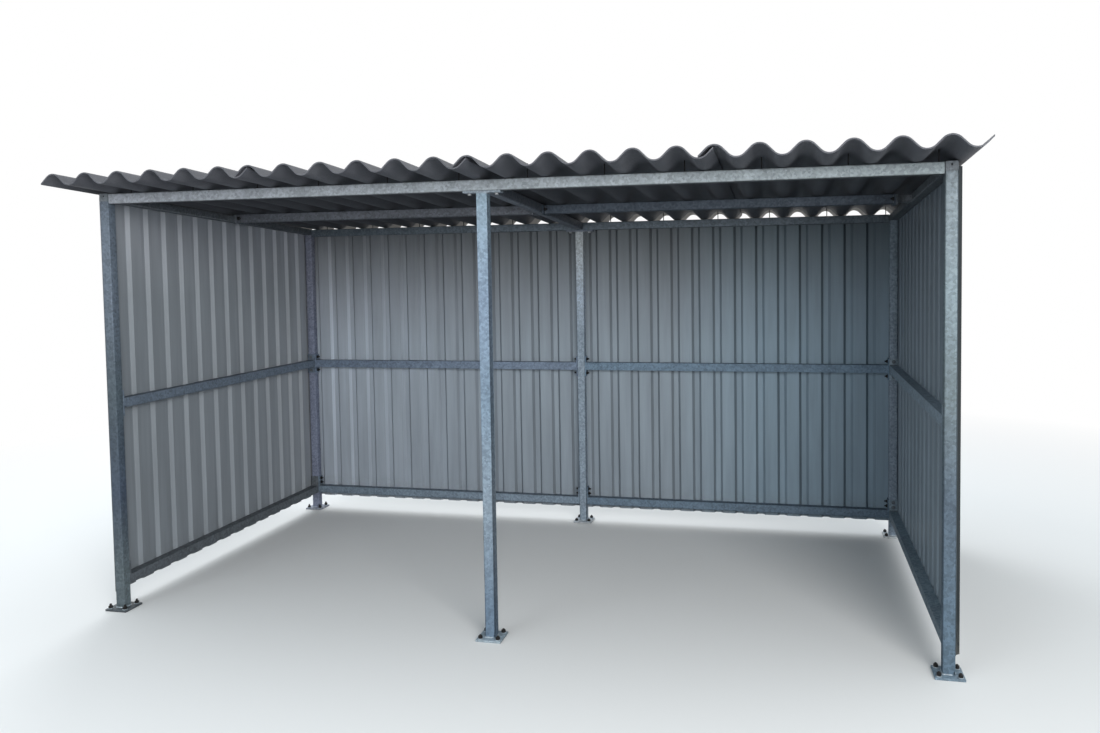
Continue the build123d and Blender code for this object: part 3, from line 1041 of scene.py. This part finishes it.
def boltRows(tail):
    # washer, head, and on a nut's side the end of the bolt's thread
    b = frameBolt
    top = b["washerHeight"] + b["headHeight"]
    rows = roundRows(b["washerRadius"], b["washerHeight"])
    rows += hexRows(b["headAcross"], b["headHeight"], b["washerHeight"])
    if tail:
        end = top + b["tailLength"]
        rows += threadRows(b["tailRadius"], top, end, b["tailPitch"], b["tailDepth"])
    return rows


def endBolts(name, offsets, metal):
    # bolts on both end plates, each offset from the plate's axis by (across, up)
    places, directions = [], []
    for (x, y), direction in railEnds(name):
        for across, height in offsets:
            places.append((x, y + across, height))
            directions.append(direction)
    rows = boltRows(True)
    repeated(name + "_bolts", rows, frameBolt["sides"], places, directions, metal)


def railBolts(name):
    # above and below a middle rail's tube, and both above a bottom rail's
    low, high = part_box(name)
    if "middle_rail" in name:
        centre = (low.z + high.z) / 2
        heights = (centre - frameBolt["middleRise"], centre + frameBolt["middleRise"])
    else:
        heights = [low.z + frameSizes["tube"] + rise for rise in frameBolt["bottomRise"]]
    metal = darkSteel if name.startswith("rear") else shadedZinc
    endBolts(name, [(0, height) for height in heights], metal)


def headBolts(name):
    # under both wings of a middle post's head plate
    low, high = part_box(name)
    middle = (low + high) / 2
    underside, reach = high.z - frameSizes["headPlate"], frameBolt["headPlateReach"]
    places = [(middle.x + i * reach, middle.y, underside) for i in (-1, 1)]
    down = [(0, 0, -1)] * len(places)
    rows = boltRows(False)
    repeated(
        name + "_head_bolts", rows, frameBolt["sides"], places, down, zincPlate)


def purlinBolts(name):
    # on both sides of a purlin's tube
    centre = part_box(name)[0].z + frameSizes["purlinPlateDrop"] + halfTube
    reach = frameBolt["middleRise"]
    endBolts(name, [(-reach, centre), (reach, centre)], darkSteel)


for name in railNames:
    railBolts(name)
for name in ("front_middle_post", "rear_middle_post"):
    headBolts(name)
for name in purlinNames:
    purlinBolts(name)
print("frame bolts made")


# Roof screws: on every second crest over the front beam and the rear beam
roofScrew = {
    "firstCrest": 0.0645,
    "wavePitch": 0.177,
    "coverPitch": 1.035,
    "crestRise": 0.0573,
    "screwedWaves": (1, 3, 5),
    "sheets": 4,
    "capRadius": 0.0135,
    "capProfile": ((0.0, 0.9), (0.0012, 1.0), (0.003, 0.92), (0.0052, 0.66)),
    "stemRadius": 0.0026,
    "stemShort": 0.004,
    "stemSink": 0.001,
    "headAcross": 0.0080,
    "headFrom": 0.0058,
    "headTo": 0.0104,
    "headChamfer": 0.0004,
    "headRim": 0.9,
}


def roofPlane(y):
    # height of the plane under the sheets at a depth, through the tops of both beams
    front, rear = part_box("front_beam"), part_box("rear_beam")
    share = (y - front[0].y) / (rear[0].y - front[0].y)
    return front[1].z + (rear[1].z - front[1].z) * share


def crestPlaces():
    # crests of each sheet that carry a screw: the second, fourth and sixth
    s = roofScrew
    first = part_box("roof_sheet_1")[0].x + s["firstCrest"]
    return [
        first + number * s["coverPitch"] + wave * s["wavePitch"]
        for number in range(s["sheets"]) for wave in s["screwedWaves"]]


def middleDepth(name):
    return (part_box(name)[0].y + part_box(name)[1].y) / 2


def roofScrews():
    # a domed rubber cap with the head on it, over a stem down to the beam
    s = roofScrew
    slope = atan2(roofPlane(0) - roofPlane(1), 1)
    up = (0, sin(slope), cos(slope))
    cap = [(height, s["capRadius"] * share, 0) for height, share in s["capProfile"]]
    cap += screwHeadRows(
        s["headAcross"], s["headFrom"], s["headTo"], s["headChamfer"], s["headRim"])
    stem = roundRows(s["stemRadius"], s["crestRise"] - s["stemShort"])
    crests = crestPlaces()
    ups = [up] * len(crests)
    for row in ("front", "rear"):
        depth = middleDepth(row + "_beam")
        base = roofPlane(depth)
        tops = [(x, depth, base + s["crestRise"] / cos(slope)) for x in crests]
        feet = [(x, depth, base - s["stemSink"]) for x in crests]
        repeated(row + "_roof_screw_caps", cap, 12, tops, ups, sealRubber)
        repeated(row + "_roof_screw_stems", stem, 10, feet, ups, darkSteel)


roofScrews()
print("roof screws made")


# Cladding screws: in every second pan over the rails and beams, and on the crowns of the laps
wallScrew = {
    "ribPitch": 0.1375,
    "firstRib": 0.045,
    "sideFirstRib": 0.040,
    "sheetStart": 0.035,
    "rearRibs": 29,
    "sideRibs": 14,
    "panLift": 0.0007,
    "ribRise": 0.0196,
    "lapSink": 0.0008,
    "sealRadius": 0.0070,
    "sealHeight": 0.0018,
    "flangeProfile": ((-0.0004, 0.92), (0.0006, 0.88)),
    "headAcross": 0.0080,
    "headFrom": 0.0009,
    "headHeight": 0.0046,
    "headChamfer": 0.0006,
    "headRim": 0.85,
    "railHeights": (0.145, 1.062),
    "rearTop": 1.998,
    "underSlope": 0.032,
    "lapHeights": (0.36, 0.80, 1.32, 1.74),
    "lapEvery": 8,
}


def wallScrewPlaces():
    # (place, outward) on the pans' and laps' outer faces of the rear wall and both ends
    w = wallScrew
    places, directions = [], []

    def add(place, outward):
        places.append(place)
        directions.append(outward)

    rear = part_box("rear_beam")[1].y + w["panLift"]
    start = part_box("front_left_post")[0].x + w["sheetStart"] + w["firstRib"]
    for rib in range(0, w["rearRibs"], 2):
        x = start + (rib + 0.5) * w["ribPitch"]
        for height in (*w["railHeights"], w["rearTop"]):
            add((x, rear, height), (0, 1, 0))
    for rib in range(w["lapEvery"], w["rearRibs"], w["lapEvery"]):
        for height in w["lapHeights"]:
            crown = rear + w["ribRise"] - w["lapSink"]
            add((start + rib * w["ribPitch"], crown, height), (0, 1, 0))
    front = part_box("front_beam")[0].y + w["sideFirstRib"]
    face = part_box("left_middle_rail")[0].x - w["panLift"]
    lapY = front + w["lapEvery"] * w["ribPitch"]
    for side in (-1, 1):
        for rib in range(0, w["sideRibs"], 2):
            y = front + (rib + 0.5) * w["ribPitch"]
            for height in (*w["railHeights"], roofPlane(y) - w["underSlope"]):
                add((-side * face, y, height), (side, 0, 0))
        for height in w["lapHeights"]:
            add((-side * (face - w["ribRise"] + w["lapSink"]), lapY, height), (side, 0, 0))
    return places, directions


def wallScrews():
    w = wallScrew
    places, directions = wallScrewPlaces()
    seal = roundRows(w["sealRadius"], w["sealHeight"])
    low = w["sealHeight"]
    head = [(low + rise, w["sealRadius"] * share, 0) for rise, share in w["flangeProfile"]]
    head += screwHeadRows(
        w["headAcross"], low + w["headFrom"], low + w["headHeight"], w["headChamfer"],
        w["headRim"])
    repeated("wall_screw_seals", seal, 12, places, directions, sealRubber)
    repeated("wall_screw_heads", head, 12, places, directions, zincPlate)
    print("wall screws made:", len(places))


wallScrews()


# Floor, lamps and world
studio = {
    "floorSize": 60.0,
    "floorColour": (0.80, 0.80, 0.79),
    "floorBounce": (0.26, 0.26, 0.26),
    "clearFrom": 3.4,
    "clearTo": 7.0,
    "skyColour": (0.86, 0.94, 1.0),
    "skyAtHorizon": 0.42,
    "skyOverhead": 0.97,
}


def floorMaterial():
    # pale near the shelter, where it takes the shadow, and fading to plain white further out; to
    # light that bounces it is darker, so that it doesn't flood the roof from below
    material = bpy.data.materials.new("studioFloor")
    material.use_nodes = True
    tree = material.node_tree
    tree.nodes.clear()
    output = tree.nodes.new("ShaderNodeOutputMaterial")
    cameraRay = tree.nodes.new("ShaderNodeLightPath").outputs["Is Camera Ray"]
    shown = blendColours(tree, cameraRay, studio["floorBounce"], studio["floorColour"])
    pale = feed(tree, tree.nodes.new("ShaderNodeBsdfDiffuse"), {"Color": shown})
    white = feed(tree, tree.nodes.new("ShaderNodeEmission"), {"Color": (1, 1, 1)})
    length = tree.nodes.new("ShaderNodeVectorMath")
    length.operation = "LENGTH"
    tree.links.new(surfacePoint(tree), length.inputs[0])
    far = rescale(tree, length.outputs["Value"], studio["clearFrom"], studio["clearTo"])
    amount = times(tree, seenDirectly(tree), far)
    joined = feed(tree, tree.nodes.new("ShaderNodeMixShader"), {
        "Fac": amount, 1: pale.outputs["BSDF"], 2: white.outputs["Emission"]})
    tree.links.new(joined.outputs["Shader"], output.inputs["Surface"])
    return material


def makeFloor():
    half = studio["floorSize"] / 2
    corners = [(-half, -half, 0), (half, -half, 0), (half, half, 0), (-half, half, 0)]
    mesh = bpy.data.meshes.new("studio_floor")
    mesh.from_pydata(corners, [], [(0, 1, 2, 3)])
    mesh.materials.append(floorMaterial())
    floor = bpy.data.objects.new("studio_floor", mesh)
    scene.collection.objects.link(floor)


def makeWorld():
    # an overcast sky, brighter overhead than at the horizon, that the camera sees as white
    world = bpy.data.worlds.new("studioWorld")
    scene.world = world
    world.use_nodes = True
    tree = world.node_tree
    tree.nodes.clear()
    output = tree.nodes.new("ShaderNodeOutputWorld")
    ray = tree.nodes.new("ShaderNodeTexCoord")
    rise = axisOf(tree, ray.outputs["Generated"], 2)
    strength = rescale(tree, rise, 0, 1, studio["skyAtHorizon"], studio["skyOverhead"])
    soft, white = (
        feed(tree, tree.nodes.new("ShaderNodeBackground"), inputs).outputs["Background"]
        for inputs in (
            {"Color": studio["skyColour"], "Strength": strength}, {"Color": (1, 1, 1)}))
    joined = feed(tree, tree.nodes.new("ShaderNodeMixShader"), {
        "Fac": seenDirectly(tree), 1: soft, 2: white})
    tree.links.new(joined.outputs["Shader"], output.inputs["Surface"])


lamps = {
    "key": {
        "place": (4.0, -7.2, 3.2), "aim": (-0.4, 0.2, 1.0), "size": 4.6,
        "watts": 480, "colour": (1.0, 0.99, 0.97),
    },
    "fill": {
        "place": (-3.0, -6.6, 2.8), "aim": (1.3, 0.5, 0.9), "size": 4.2,
        "watts": 101, "colour": (0.88, 0.95, 1.0),
    },
    "sky": {
        "place": (-1.5, 1.0, 6.5), "aim": (0, 0, 1.5), "size": 6.0,
        "watts": 130, "colour": (0.93, 0.96, 1.0),
    },
    "back": {
        "place": (-4.0, 6.5, 4.5), "aim": (0, 0.5, 1.0), "size": 5.0,
        "watts": 300, "colour": (0.95, 0.98, 1.0),
    },
}


def makeLamps():
    # the lamps leave no mirror image in the zinc
    for name, lamp in lamps.items():
        light = bpy.data.lights.new(name, "AREA")
        light.shape = "DISK"
        light.size = lamp["size"]
        light.energy = lamp["watts"]
        light.color = lamp["colour"]
        seat = bpy.data.objects.new(name, light)
        scene.collection.objects.link(seat)
        seat.location = lamp["place"]
        seat.visible_glossy = False
        aim = Vector(lamp["aim"]) - Vector(lamp["place"])
        seat.rotation_euler = aim.to_track_quat("-Z", "Y").to_euler()


makeFloor()
makeWorld()
makeLamps()
print("studio made")
